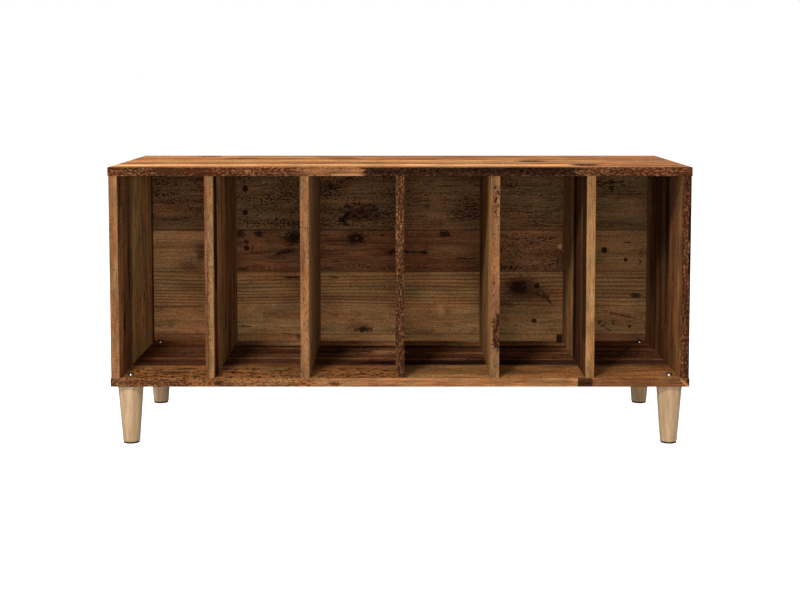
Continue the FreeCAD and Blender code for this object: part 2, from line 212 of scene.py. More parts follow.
# Strengths of the weathering on a face whose table doesn't give them
USUAL = {
    "Contrast": 0.8, "Pits": 0.1, "Stains": 0.0, "Ridges": 0.0, "Figure": 0.2, "Dashes": 0.4, "Flecks": 0.0,
}


def laid(tree, color, mask, tone, strength):
    """Lays a tone over a colour, as strongly as asked, where the mask is."""
    cover = add(tree, "Math MULTIPLY", [mask, strength])
    return add(tree, "Mix RGBA", {0: cover, 6: color, 7: hex_color(tone)})


def area(u, v, half_u, half_v, soft):
    """The place that a row gives, for a patch of the print; a few rows give painted shade."""
    return {"Centre": (u, v, 0), "Half size": (half_u, half_v, 1), "Softness": soft}


def printed(tree, flat, ragged, table):
    """Lays a table's tones and the strengths of its weathering over one face: the sockets that the grain takes."""
    color = hex_color(table["base"])
    for *place, tone, strength in table.get("tones", ()):
        soft = place[-1]
        mask = add(tree, "Group", {"Point": ragged if soft > 2 else flat, **area(*place)}, node_tree=patch)
        color = laid(tree, color, mask, tone, strength)
    sockets = {"Tone": color}
    for name, usual in USUAL.items():
        amount, *places = table.get(name.lower(), [usual])
        for *place, more in places:
            mask = add(tree, "Group", {"Point": ragged, **area(*place)}, node_tree=patch)
            amount = add(tree, "Math MULTIPLY_ADD", [mask, more, amount])
        sockets[name] = amount
    return sockets


def spotted(tree, color, flat, bent, rag, table):
    """Draws a table's knots, nail holes and cracks over a colour; only what is ragged is bent too."""
    for u, v, half_u, half_v, raggedness, tone, strength, *turn in table.get("spots", ()):
        cosine, sine = math.cos(math.radians(sum(turn))), math.sin(math.radians(sum(turn)))
        mask = add(tree, "Group", {
            "Point": bent if raggedness > 1 else flat, "Centre": (u, v, 0),
            "Along": (cosine / half_u, sine / half_u, 0), "Across": (-sine / half_v, cosine / half_v, 0),
            "Rag": rag, "Raggedness": raggedness, "Core": max(0.3, 0.85 - 0.2 * raggedness),
        }, node_tree=spot)
        color = laid(tree, color, mask, tone, strength)
    return color


# How far apart two boards, and the two faces of one board, lie in the noise
BOARD_STEP, FACE_STEP = 1000.0, 430.0


def old_wood(name, along, across, seed, table, other=None, raw_rear=None, spread=(1.0, 1.0)):
    """Melamine paper printed as reclaimed planks: matt, hardly embossed, so nearly all it gives the eye is colour.

    A board with two faces across X takes one table for its left face and another for its right face. Spread sizes
    the grain along and across: wider on boards that the eye meets at a low angle, where it would be too fine to show.
    """
    material, tree, shader = new_material(f"printed_melamine_{name}")
    place = add(tree, "TexCoord").outputs["Object"]
    place = add(tree, "VectorMath SCALE", {0: place, "Scale": PER_METRE})
    place = add(tree, "SeparateXYZ", [place])
    facing = add(tree, "SeparateXYZ", [add(tree, "NewGeometry").outputs["Normal"]])
    side = add(tree, "Math GREATER_THAN", [facing.outputs["X"], 0.0])
    layer = add(tree, "Math MULTIPLY_ADD", [side, FACE_STEP, BOARD_STEP * seed])
    ways = [place.outputs[along], place.outputs[across]]
    flat = add(tree, "CombineXYZ", ways)
    deep = add(tree, "CombineXYZ", [*ways, layer])
    wide = add(tree, "VectorMath DIVIDE", [deep, (*spread, 1)])
    # Edges of tones sway by up to some 20 mm along the grain, and those of spots by less
    coarse = add(tree, "VectorMath DIVIDE", [deep, (16 * spread[1], 7 * spread[1], 10)])
    sway = add(tree, "TexNoise", {"Vector": coarse, "Scale": 1.0, "Detail": 3.0, "Roughness": 0.6})
    sway = add(tree, "SeparateColor", [sway.outputs["Color"]])
    sway = add(tree, "CombineXYZ", [sway.outputs["Red"], sway.outputs["Green"]])
    sway = add(tree, "VectorMath SUBTRACT", [sway, (0.5, 0.5, 0)])
    swayed = []
    for reach in ((46, 9 * spread[1], 0), (14, 9, 0)):
        shift = add(tree, "VectorMath MULTIPLY", [sway, reach])
        swayed.append(add(tree, "VectorMath ADD", [flat, shift]))
    ragged, bent = swayed
    fine = add(tree, "VectorMath DIVIDE", [wide, (6.5, 3.4, 10)])
    rag = add(tree, "TexNoise", {"Vector": fine, "Scale": 1.0, "Detail": 3.0, "Roughness": 0.65})
    rag = add(tree, "Math SUBTRACT", [rag, 0.5])
    sockets = printed(tree, flat, ragged, table)
    if other:
        for label, right in printed(tree, flat, ragged, other).items():
            left = sockets[label]
            if label == "Tone":
                sockets[label] = add(tree, "Mix RGBA", {0: side, 6: left, 7: right})
            elif right != left:
                sockets[label] = add(tree, "Mix", {0: side, 2: left, 3: right})
    weathered = add(tree, "Group", {"Point": wide, **sockets}, node_tree=grain)
    color = spotted(tree, weathered.outputs["Colour"], flat, bent, rag, table)
    if other:
        right = spotted(tree, weathered.outputs["Colour"], flat, bent, rag, other)
        color = add(tree, "Mix RGBA", {0: side, 6: color, 7: right})
    if raw_rear:
        # Unprinted at the rear: sawn chipboard shows pale flakes along the board, hardboard shows brown fibres
        low, high, wide_x, wide_z = raw_rear
        rear = add(tree, "CombineXYZ", [place.outputs["X"], place.outputs["Z"]])
        flakes = add(tree, "VectorMath DIVIDE", [rear, (wide_x, wide_z, 1)])
        flakes = add(tree, "TexVoronoi", {"Vector": flakes, "Scale": 1.0})
        flake = add(tree, "SeparateColor", [flakes.outputs["Color"]])
        chip = add(tree, "Mix RGBA", {0: flake, 6: hex_color(low), 7: hex_color(high)})
        blotch = add(tree, "TexNoise", {"Vector": rear, "Scale": 0.03, "Detail": 4.0, "Roughness": 0.6})
        blotch = add(tree, "MapRange", {"Value": blotch, **span(0.3, 0.7, 0.8, 1.2)})
        chip = add(tree, "VectorMath SCALE", {0: chip, "Scale": blotch})
        sawn = add(tree, "Math GREATER_THAN", [facing.outputs["Y"], 0.5])
        color = add(tree, "Mix RGBA", {0: sawn, 6: color, 7: chip})
    height = weathered.outputs["Height"]
    bump = add(tree, "Bump", {"Height": height, "Strength": 0.3, "Distance": 0.0003})
    rough = add(tree, "MapRange", {"Value": height, **span(-0.5, 1.0, 0.95, 0.78)})
    fill(tree, shader, {"Base Color": color, "Roughness": rough, "Normal": bump, "Specular IOR Level": 0.02})
    return material


def dress(node, material):
    """Gives a CAD node its finish."""
    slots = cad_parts[node].data.materials
    slots.clear()
    slots.append(material)


# The print of each board, with rows of painted shade where noted. Every row gives a place and half size along and
# across the grain in millimetres. Tones and spots then have softness or raggedness, tone and strength, and a spot may
# have a turn in degrees. The other lists start with the strength on the whole face, and their rows end with softness
# and the strength added there
back_print = {
    "base": OLIVE,
    "contrast": [0.6, (0, 407, 520, 66, 4, 0.2), (-165, 297, 165, 40, 6, 0.25), (0, 195, 520, 62, 4, -0.15)],
    "dashes": [0.35, (0, 407, 520, 66, 6, 0.4)],
    "tones": [
        (0, 407, 520, 69, 1.5, "5a412b", 1.0), (-84, 407, 80, 69, 4, "573f2a", 1.0),
        (415, 407, 80, 69, 4, "543d28", 1.0), (0, 297.5, 338, 40.5, 1.5, "5c3c28", 1.0),
        (-250, 297.5, 76, 40.5, 4, "5e3f2a", 1.0), (-100, 300, 30, 30, 20, BARK, 0.4),
        (120, 310, 60, 24, 20, BARK, 0.4), (300, 310, 40, 20, 20, TAN, 0.6), (250, 297.5, 80, 40.5, 4, "6b4f37", 0.5),
        (430, 297.5, 92, 40.5, 1.5, BARK, 0.7), (-30, 265, 300, 6, 5, RUST, 0.6), (-440, 125, 100, 7, 1.5, RUST, 0.7),
        (440, 125, 100, 7, 1.5, RUST, 0.8), (-250, 125, 80, 7, 1.5, "69482c", 0.9), (-231, 175, 38, 11, 7, RUST, 0.4),
        (-133, 195, 20, 16, 10, SIENNA, 0.4), (-70, 180, 46, 17, 9, FAWN, 0.18), (-300, 178, 26, 14, 10, FAWN, 0.3),
        (90, 190, 70, 30, 16, FAWN, 0.15), (230, 200, 70, 40, 22, BARK, 0.8), (238, 222, 36, 22, 16, UMBER, 0.45),
        (430, 200, 90, 60, 20, BARK, 0.1), (0, 338.5, 520, 1.2, 1.0, PITCH, 0.7), (0, 256.6, 520, 1.0, 1.0, PITCH, 0.5),
        (0, 132.5, 520, 1.0, 1.0, PITCH, 0.55), (-450, 187, 60, 1.5, 1.0, UMBER, 0.6),
        (314, 125, 5.7, 6.5, 0.6, PITCH, 0.95),
    ],
    "pits": [
        0.05, (0, 407, 520, 66, 6, 0.62), (-165, 407, 165, 66, 8, 0.16), (415, 407, 75, 66, 10, -0.3),
        (-240, 352, 80, 12, 8, 0.05), (-460, 430, 40, 20, 12, 0.3), (-130, 430, 40, 20, 12, 0.25),
        (130, 375, 40, 14, 10, 0.2), (0, 297, 338, 40, 8, 0.3), (256, 297, 76, 40, 8, 0.46), (0, 264, 300, 7, 5, 0.25),
        (-420, 264, 30, 10, 6, 0.4), (440, 165, 60, 14, 8, 0.25), (280, 205, 22, 14, 8, 0.5),
    ],
    "stains": [
        0.1, (0, 407, 520, 66, 6, 0.3), (-440, 420, 70, 30, 14, 0.15), (-76, 372, 38, 18, 8, 0.4),
        (-385, 285, 14, 26, 8, 0.4), (-260, 330, 70, 8, 6, 0.15), (0, 297, 338, 40, 8, 0.12),
        (250, 297, 70, 36, 8, 0.25), (220, 218, 50, 30, 20, 0.2), (410, 428, 40, 14, 8, 0.3),
    ],
    "ridges": [0.0, (0, 221, 520, 34, 5, 0.75), (-430, 297, 100, 38, 8, 0.22), (430, 297, 90, 38, 8, 0.22)],
    "figure": [0.12, (0, 160, 520, 27, 8, 0.22), (0, 297, 338, 38, 8, 0.2)],
    "spots": [
        (-303, 420, 6.5, 6.5, 0.5, PITCH, 0.95), (-303, 373, 6, 6, 0.5, PITCH, 0.95),
        (-301, 303, 6, 6, 0.7, PITCH, 0.95), (-302, 315, 5, 6, 1.6, PITCH, 0.8), (-290, 301, 4, 11, 2.4, UMBER, 0.8),
        (-284, 293, 9, 3, 2.2, UMBER, 0.7), (-208, 324, 22, 15, 2.2, PITCH, 0.92), (-276, 331, 13, 9, 2.4, PITCH, 0.85),
        (-313, 331, 13, 9, 2.4, PITCH, 0.85), (-226, 296, 14, 4, 2.4, UMBER, 0.8),
        (-214, 301, 10, 3.4, 2.2, UMBER, 0.8), (-236, 289, 10, 3, 2.4, UMBER, 0.6), (-250, 284, 20, 3, 2.8, UMBER, 0.5),
        (-309, 262, 14, 4, 2.4, PITCH, 0.7), (-211, 245, 22, 2.2, 1.0, PITCH, 0.85),
        (-304, 148, 16, 1.8, 1.2, PITCH, 0.75), (-199, 128, 6, 6, 1.0, UMBER, 0.8),
        (-392, 297, 13, 24, 2.6, UMBER, 0.7), (-411, 266, 28, 9, 3.0, UMBER, 0.65), (-451, 152, 8, 8, 0.6, BARK, 0.75),
        (-477, 149, 9, 2, 1.2, PITCH, 0.75), (-485, 368, 7, 6, 2.2, UMBER, 0.7), (-388, 421, 9, 8, 3.0, UMBER, 0.7),
        (-137, 424, 9, 7, 3.0, PITCH, 0.8), (-45, 362, 26, 10, 1.8, UMBER, 0.35), (-80, 368, 30, 18, 2.0, UMBER, 0.85),
        (-113, 358, 10, 8, 1.6, PITCH, 0.95), (-105, 367, 17, 5, 1.6, PITCH, 0.95, 42),
        (-106, 350, 13, 4, 1.6, PITCH, 0.92, -40), (-90, 366, 8, 5, 2.0, PITCH, 0.9),
        (-77, 373, 10, 5, 2.0, PITCH, 0.9), (-80, 361, 8, 3.6, 2.0, PITCH, 0.85), (-68, 364, 7, 3.6, 2.0, PITCH, 0.85),
        (-33, 329, 6, 3, 1.6, PITCH, 0.7), (-89, 322, 30, 20, 1.9, UMBER, 0.8), (-87, 322, 19, 13, 1.7, PITCH, 0.93),
        (-85, 322, 3.4, 2.2, 0.8, SIENNA, 0.5), (-118, 309, 26, 2.2, 1.6, UMBER, 0.8),
        (-18, 295, 11, 7, 2.2, PITCH, 0.9), (-129, 246, 11, 1.8, 1.4, UMBER, 0.85), (-143, 263, 9, 3, 2.4, UMBER, 0.8),
        (-80, 146, 36, 13, 2.6, RUST, 0.75), (-72, 142, 21, 7, 2.2, PITCH, 0.92), (134, 365, 14, 3, 2.6, PITCH, 0.8),
        (52, 386, 8, 4, 2.6, PITCH, 0.7), (32, 394, 6, 3, 2.6, PITCH, 0.6), (88, 331, 18, 8, 2.4, PITCH, 0.9),
        (30, 295, 26, 2, 1.6, PITCH, 0.8), (48, 295, 9, 5.5, 2.2, PITCH, 0.9), (12, 295, 7, 5, 2.2, PITCH, 0.8),
        (124, 282, 30, 1.8, 1.4, PITCH, 0.7), (81, 180, 10, 16, 2.6, FAWN, 0.35), (95, 150, 12, 8, 3.0, RUST, 0.4),
        (241, 222, 44, 33, 1.7, UMBER, 0.55), (238, 224, 31, 25, 1.7, UMBER, 0.75),
        (234, 226, 21, 18, 1.7, PITCH, 0.92), (276, 210, 24, 2.4, 1.2, PITCH, 0.8, -22),
        (291, 200, 18, 2.2, 1.2, PITCH, 0.8, -42), (266, 214, 14, 2.0, 1.2, UMBER, 0.85, 24),
        (284, 213, 14, 1.8, 1.2, UMBER, 0.85, -52), (252, 236, 20, 2.0, 1.2, UMBER, 0.8, 36),
        (269, 228, 6, 6, 0.4, PITCH, 0.95), (209, 191, 22, 8, 3.0, UMBER, 0.7), (284, 207, 16, 8, 3.6, UMBER, 0.8),
        (264, 159, 6, 5, 0.6, PITCH, 0.9), (314, 306, 5, 6, 0.8, FAWN, 0.6), (290, 372, 36, 1.5, 0.8, UMBER, 0.85, 20),
        (215, 425, 10, 3, 2.4, PITCH, 0.8, -20), (250, 385, 12, 2.4, 2.0, UMBER, 0.7, 30),
        (-226, 300, 34, 2.6, 1.6, UMBER, 0.8, 32), (-228, 294, 24, 3.4, 1.0, PITCH, 0.75, 14),
        (-207, 312, 26, 2.2, 1.6, UMBER, 0.7, 12), (-222, 440, 20, 1.4, 1.2, UMBER, 0.7, 14),
        (436, 170, 44, 2.4, 1.8, UMBER, 0.8, -14), (400, 150, 8, 2.4, 1.6, PITCH, 0.8, 40),
        (410, 142, 9, 2, 1.6, UMBER, 0.8, -30), (424, 398, 12, 2, 1.6, UMBER, 0.7, 40),
        (483, 146, 1.6, 16, 1.2, UMBER, 0.7, 10), (474, 296, 2, 12, 1.4, UMBER, 0.7, -12),
        (204, 328, 8, 5, 3.0, UMBER, 0.7), (256, 314, 8, 5, 3.0, UMBER, 0.7), (401, 299, 6.5, 6.5, 0.4, PITCH, 0.95),
        (443, 280, 4, 4.5, 0.8, PITCH, 0.9), (471, 275, 2.4, 7, 1.4, PITCH, 0.75), (392, 279, 9, 3, 2.0, RUST, 0.8),
        (446, 314, 10, 2.4, 1.6, UMBER, 0.85), (463, 209, 13, 7, 2.2, PITCH, 0.85), (452, 148, 4, 4, 0.8, PITCH, 0.85),
        (420, 155, 4, 3, 0.8, PITCH, 0.75), (393, 156, 5, 4, 1.2, PITCH, 0.75), (412, 432, 30, 3.4, 2.6, PITCH, 0.85),
        (397, 405, 10, 5, 3.0, UMBER, 0.7),
    ],
}
top_print = {
    "base": "7e5537", "contrast": [1.0], "dashes": [0.0], "pits": [0.0], "figure": [0.3],
    "tones": [
        (0, 182, 520, 14, 6, TAN, 0.6), (-330, 130, 170, 22, 8, FAWN, 0.4), (-100, 5, 480, 26, 10, FAWN, 0.45),
        (-100, -75, 480, 10, 6, RUST, 0.3), (-110, -128, 416, 26, 5, "af7f51", 0.9), (0, -180, 520, 10, 5, TAN, 0.5),
        (410, -120, 100, 40, 5, HONEY, 0.6),
    ],
    "spots": [
        (-294, 84, 46, 26, 1.4, UMBER, 0.85), (-205, 84, 60, 18, 1.6, RUST, 0.85), (-112, 92, 50, 26, 1.5, UMBER, 0.8),
        (-368, 160, 28, 26, 1.5, UMBER, 0.7), (36, 62, 46, 22, 1.5, RUST, 0.9), (240, -8, 34, 32, 1.3, PITCH, 0.9),
        (280, -20, 66, 12, 1.6, RUST, 0.7), (324, -118, 30, 30, 1.0, PITCH, 0.9), (430, -126, 86, 11, 1.6, RUST, 0.7),
    ],
}
floor_print = {
    "base": "674528", "contrast": [0.9, (0, 24, 520, 98, 4, 0.4)], "dashes": [0.35], "figure": [0.2],
    "stains": [0.42, (-240, -150, 240, 50, 10, 0.24), (0, 24, 520, 98, 4, 0.08)],
    "tones": [
        (250, -134, 245, 56, 8, "77512f", 0.95), (-165, -134, 170, 56, 8, "754f2e", 0.95),
        (-415, -134, 80, 56, 8, "7d5631", 0.95), (0, 24, 520, 96, 4, "4e2e1d", 0.95), (90, -50, 245, 22, 7, UMBER, 0.8),
        (410, -50, 80, 14, 5, UMBER, 0.8), (-260, -6, 240, 8, 7, CEDAR, 0.6), (240, -14, 260, 6, 5, CEDAR, 0.6),
        (200, 44, 320, 5, 4, GINGER, 0.65), (-270, 36, 240, 8, 7, CEDAR, 0.5), (-20, 50, 30, 16, 6, GINGER, 0.8),
        (0, 86, 520, 9, 4, RUSSET, 0.6), (400, 84, 90, 26, 5, RUSSET, 0.8), (0, 150, 520, 27, 2, "7b4f33", 0.6),
        (0, 150, 325, 27, 3, "836342", 0.95), (0, 120, 520, 4, 1.5, UMBER, 0.5), (313, 164, 5.7, 11, 0.6, PITCH, 0.9),
    ],
    "pits": [0.3, (0, -60, 520, 12, 8, 0.2), (-250, -140, 250, 48, 10, 0.3)],
    "spots": [
        (-380, -104, 22, 9, 2.0, UMBER, 0.85), (-385, -140, 24, 9, 2.0, UMBER, 0.85),
        (-292, -140, 16, 9, 2.0, PITCH, 0.85), (-80, -160, 44, 7, 2.2, UMBER, 0.85, 14),
        (-440, -120, 14, 8, 2.4, UMBER, 0.7), (60, -120, 20, 8, 2.6, RUST, 0.7), (230, -150, 24, 8, 2.6, RUST, 0.7),
        (400, -130, 26, 8, 2.6, RUST, 0.7), (-400, -72, 84, 5, 1.6, PITCH, 0.8), (-442, -42, 50, 8, 2.2, PITCH, 0.75),
        (-370, -36, 30, 6, 2.2, UMBER, 0.8), (-390, 18, 84, 5, 2.0, UMBER, 0.7), (-410, 44, 84, 5, 2.0, UMBER, 0.7),
        (-400, 84, 60, 6, 2.2, UMBER, 0.6), (-245, 116, 84, 6, 1.4, PITCH, 0.8), (-250, 80, 76, 7, 2.0, UMBER, 0.7),
        (-220, 42, 64, 6, 2.0, UMBER, 0.65), (-300, -52, 34, 13, 2.2, UMBER, 0.75), (-200, -42, 40, 9, 2.2, UMBER, 0.6),
        (-250, 6, 50, 6, 2.2, UMBER, 0.5), (-82, 111, 96, 10, 1.7, PITCH, 0.9), (-110, 10, 60, 14, 2.4, UMBER, 0.7),
        (-110, -34, 56, 11, 2.2, UMBER, 0.8), (-26, -50, 64, 21, 1.9, PITCH, 0.92), (-32, 70, 24, 8, 2.0, CEDAR, 0.8),
        (38, 111, 54, 12, 1.9, PITCH, 0.9), (116, 112, 56, 8, 2.0, UMBER, 0.85), (82, -52, 104, 19, 1.5, PITCH, 0.94),
        (80, 6, 92, 9, 2.0, UMBER, 0.8), (226, 110, 70, 12, 1.8, PITCH, 0.88), (212, -50, 58, 19, 1.9, PITCH, 0.9),
        (286, -46, 50, 11, 2.2, UMBER, 0.8), (232, -8, 36, 7, 2.2, UMBER, 0.7), (440, -32, 44, 11, 2.2, UMBER, 0.8),
        (380, 22, 54, 7, 2.2, UMBER, 0.6), (400, 62, 64, 7, 2.2, UMBER, 0.6), (90, 38, 70, 6, 2.2, TAN, 0.75),
        (240, 42, 66, 6, 2.2, TAN, 0.75), (250, 78, 60, 6, 2.4, SIENNA, 0.7), (-230, 14, 60, 6, 2.2, TAN, 0.65),
        (-400, 64, 66, 5, 2.2, SIENNA, 0.7), (-420, -8, 54, 6, 2.2, SIENNA, 0.7), (-240, -64, 70, 5, 2.2, TAN, 0.6),
        (-60, 44, 40, 5, 2.4, SIENNA, 0.7), (420, -6, 60, 5, 2.2, TAN, 0.5),
    ],
}
bands_print = {
    "top_front": {
        "base": WALNUT, "contrast": [1.0], "figure": [0.0],
        "tones": [
            (-117, 478, 50, 9, 8, TAN, 0.4), (-470, 477, 30, 9, 8, TAN, 0.3), (-230, 477, 40, 9, 8, TAN, 0.3),
            (120, 477, 183, 9, 8, "23140c", 0.95), (330, 477, 30, 9, 8, TAN, 0.4),
        ],
        "stains": [
            0.8, (-372, 477, 44, 9, 10, 0.2), (-302, 477, 30, 9, 10, 0.06), (-117, 477, 54, 9, 12, -0.35),
            (490, 477, 20, 9, 8, 0.1),
        ],
        "pits": [0.4, (120, 477, 190, 9, 10, 0.2)], "flecks": [0.15, (120, 477, 183, 9, 8, 0.35)],
        "spots": [(-90, 471, 30, 2.6, 0.5, HONEY, 0.9)],
    },
    "bottom_front": {
        "base": "704d31", "contrast": [1.0], "figure": [0.1],
        "tones": [
            (-260, 111, 105, 9, 16, "624227", 0.9), (-440, 111, 80, 9, 10, "5d3b24", 0.9),
            (418, 111, 88, 9, 3, "51331e", 0.95), (320, 111, 13, 9, 1.0, PITCH, 0.9), (342, 111, 9, 9, 2, RUST, 0.7),
        ],
        "stains": [0.42, (-440, 111, 70, 9, 10, 0.4), (-260, 111, 110, 9, 20, 0.32), (140, 111, 167, 9, 10, -0.2)],
        "pits": [0.3, (-330, 111, 180, 9, 20, 0.3)],
        "spots": [
            (-113, 110, 14, 4, 2.4, PITCH, 0.8), (-312, 111, 10, 5, 2.4, PITCH, 0.8),
            (-296, 108, 9, 4, 2.4, UMBER, 0.8), (-470, 112, 20, 4, 2.4, UMBER, 0.7),
            (-425, 112, 16, 5, 2.4, UMBER, 0.7), (-395, 109, 12, 4, 2.4, UMBER, 0.6),
            (492, 110, 12, 2.4, 0.4, HONEY, 0.9, -45), (499, 113, 5, 3.4, 0.4, PITCH, 0.95, -45),
        ],
    },
    "left_side": {"base": "63452d", "pits": [0.25, (380, -498, 20, 3, 4, 0.6)], "stains": [0.42]},
    "divider_1": {
        "base": "503825", "pits": [0.3, (240, -331, 80, 4, 6, 0.4)], "stains": [0.45, (260, -331, 80, 4, 6, 0.15)],
        "tones": [
            (290, -333, 220, 2.2, 0.8, RUST, 0.75), (290, -330.6, 150, 0.7, 0.6, UMBER, 0.6),
            (290, -325, 220, 5, 0.8, "725435", 0.5),
        ],
    },
    "divider_2": {
        "base": "65472e", "pits": [0.25, (380, -168, 25, 3, 6, 0.6)], "stains": [0.5],
        "tones": [
            (330, -166, 30, 3, 8, RUST, 0.7), (230, -160, 50, 3, 8, SIENNA, 0.7), (430, -162, 30, 3, 8, SIENNA, 0.6),
        ],
    },
    "divider_3": {
        "base": "5b3d29", "contrast": [1.0], "pits": [0.75], "stains": [0.85], "flecks": [0.3],
        "tones": [(400, -5, 60, 2.5, 3, STRAW, 0.7), (150, -5, 30, 2.5, 3, STRAW, 0.6)],
    },
    "divider_4": {
        "base": "61432c", "pits": [0.3, (426, 166, 28, 8, 8, 0.55), (196, 166, 30, 8, 8, 0.7)],
        "stains": [0.5, (426, 166, 26, 8, 8, 0.04), (196, 166, 30, 8, 8, 0.3), (290, 164, 50, 8, 10, 0.1)],
        "spots": [
            (206, 166, 16, 3.6, 2.2, PITCH, 0.9, 14), (184, 164, 14, 3.2, 2.2, PITCH, 0.9, -12),
            (268, 168, 20, 5, 2.6, RUST, 0.6), (224, 169, 12, 2.6, 2.2, PITCH, 0.85, -10),
            (449, 163, 4, 1.8, 0.9, PITCH, 0.95, 24), (408, 164, 4, 1.5, 0.9, PITCH, 0.95, 20),
            (440, 168, 5, 2.2, 0.9, PITCH, 0.95, -20), (428, 164, 6, 2.2, 0.9, PITCH, 0.95, 24),
            (418, 168, 4, 1.6, 0.9, PITCH, 0.95),
        ],
    },
    "divider_5": {"base": "6e5033", "pits": [0.05], "stains": [0.28], "spots": [(138, 326, 12, 1.5, 1.5, UMBER, 0.6)]},
    "right_side": {
        "base": "5b3a25", "contrast": [1.0], "pits": [0.55], "stains": [0.86], "flecks": [0.15],
        "tones": [
            (385, 499, 28, 4, 1, PITCH, 0.95), (318, 499, 18, 4, 1, PITCH, 0.9), (290, 499, 200, 1.5, 1, PITCH, 0.8),
        ],
    },
}
plain_face = {
    "base": BARK, "dashes": [0.5], "tones": [(290, -60, 220, 40, 6, WALNUT, 0.6), (290, 80, 220, 40, 6, OLIVE, 0.7)],
    "spots": [
        (230, -110, 24, 10, 1.9, UMBER, 0.7), (232, -110, 10, 5, 1.7, PITCH, 0.9), (400, 60, 18, 8, 1.9, UMBER, 0.6),
        (402, 60, 8, 4, 1.7, PITCH, 0.85), (180, 20, 36, 2.4, 1.6, UMBER, 0.7),
    ],
}
outer_face = {
    "base": TAN, "contrast": [0.95], "dashes": [0.5], "figure": [0.3],
    "tones": [
        (290, -140, 220, 50, 1.5, OLIVE, 0.9), (290, -40, 220, 48, 1.5, WALNUT, 0.9),
        (290, 62, 220, 50, 1.5, STRAW, 0.9), (290, 156, 220, 42, 1.5, SIENNA, 0.9),
        (290, -89, 220, 1.0, 0.8, PITCH, 0.7), (290, 10, 220, 1.0, 0.8, PITCH, 0.6),
        (290, 113, 220, 1.0, 0.8, PITCH, 0.7), (360, -130, 60, 14, 10, FAWN, 0.4), (200, 70, 60, 14, 10, FAWN, 0.4),
    ],
    "pits": [0.12, (290, -40, 220, 46, 5, 0.5), (420, 150, 60, 34, 8, 0.3)],
    "stains": [0.15, (290, -40, 220, 46, 5, 0.25), (180, 156, 60, 34, 8, 0.25)],
    "ridges": [0.0, (290, 62, 220, 48, 4, 0.5)],
    "spots": [
        (426, -118, 5, 5, 0.5, PITCH, 0.95), (150, -122, 5, 5, 0.5, PITCH, 0.95), (430, 92, 5, 5, 0.6, PITCH, 0.95),
        (152, 34, 4.5, 4.5, 0.6, PITCH, 0.95), (262, -158, 24, 14, 1.8, UMBER, 0.6),
        (264, -158, 12, 8, 1.7, PITCH, 0.9), (338, -42, 30, 15, 2.0, UMBER, 0.7), (342, -43, 14, 9, 1.7, PITCH, 0.92),
        (206, 146, 22, 12, 1.9, UMBER, 0.65), (204, 146, 10, 6, 1.7, PITCH, 0.9),
        (386, 58, 60, 2.2, 1.4, UMBER, 0.8, 2), (226, -64, 50, 2.0, 1.4, UMBER, 0.8, -3),
        (330, 140, 44, 2.0, 1.4, UMBER, 0.7, 2), (180, -20, 26, 3.0, 2.2, PITCH, 0.8),
    ],
}
# The faces inside the bays that the photo shows
left_wall = {
    "base": OLIVE, "dashes": [0.6], "contrast": [0.9, (290, -145, 220, 48, 4, 0.3)],
    "tones": [
        (290, -145, 220, 48, 4, "6f4a2f", 0.95), (290, 0, 220, 56, 5, "ac8456", 0.95),
        (290, 115, 220, 58, 6, "af8455", 0.9), (300, -86, 200, 9, 6, UMBER, 0.75), (440, -160, 30, 20, 8, UMBER, 0.6),
        # The two rows below are painted shade: a dark strip and a black line along the wall's rear, where it meets the
        # back
        (290, 165, 220, 12, 3, UMBER, 0.85), (290, 174, 220, 2.5, 1, PITCH, 0.8),
    ],
    "spots": [
        (380, -122, 34, 7, 1.8, RUST, 0.8), (300, -90, 70, 6, 1.8, PITCH, 0.85), (430, -168, 40, 7, 2.0, UMBER, 0.7),
        (250, -40, 50, 5, 1.8, UMBER, 0.4), (206, -138, 28, 11, 1.8, PITCH, 0.95), (160, -150, 26, 7, 2.4, UMBER, 0.8),
        (226, 66, 14, 6, 1.4, PITCH, 0.85),
    ],
}
divider_1_right = {
    "base": "8d6642", "dashes": [0.5], "contrast": [1.0],
    "tones": [
        (290, -159, 220, 23, 3, PITCH, 0.95), (290, 30, 220, 50, 6, WALNUT, 0.4), (200, -159, 70, 23, 8, WALNUT, 0.6),
        (290, 120, 220, 12, 5, WALNUT, 0.5),
    ],
    "spots": [
        (192, -19, 24, 9, 1.8, PITCH, 0.85), (250, -60, 40, 6, 2.0, UMBER, 0.7), (390, 20, 40, 6, 2.0, UMBER, 0.5),
    ],
}
# The one tone of divider 2's right face is painted shade: a black line where it meets the back
divider_2_right = {"base": "896544", "tones": [(290, 174, 220, 2.5, 1, PITCH, 0.8)]}
divider_4_left = {"base": "84603c", "tones": [(290, 110, 220, 14, 5, UMBER, 0.7)]}
divider_5_left = {
    "base": "976e47", "dashes": [0.5], "contrast": [1.0],
    "tones": [
        (290, -95, 220, 95, 4, "3d2519", 0.95), (300, -22, 180, 16, 5, PITCH, 0.8), (290, -76, 220, 6, 3, RUST, 0.8),
        (290, -118, 220, 4, 3, TAN, 0.8), (330, -160, 150, 26, 5, PITCH, 0.6),
    ],
}
right_wall = {
    "base": OLIVE, "dashes": [0.5], "contrast": [1.0, (290, 28, 220, 92, 4, 0.3)],
    "tones": [
        (290, 28, 220, 95, 4, "5a3924", 0.95), (190, -44, 70, 20, 10, RUST, 0.6), (300, 18, 180, 8, 5, UMBER, 0.75),
        (300, 74, 180, 9, 5, UMBER, 0.7), (290, 118, 220, 5, 3, WALNUT, 0.7), (290, -127, 220, 58, 4, "664328", 0.95),
    ],
    "spots": [
        (250, -130, 26, 9, 2.0, SIENNA, 0.8), (160, -110, 30, 10, 2.2, UMBER, 0.6),
        (372, -46, 120, 22, 1.6, PITCH, 0.9), (240, -38, 80, 10, 1.8, UMBER, 0.8), (300, 18, 120, 7, 1.8, PITCH, 0.6),
        (200, 60, 70, 7, 1.8, UMBER, 0.7),
    ],
}
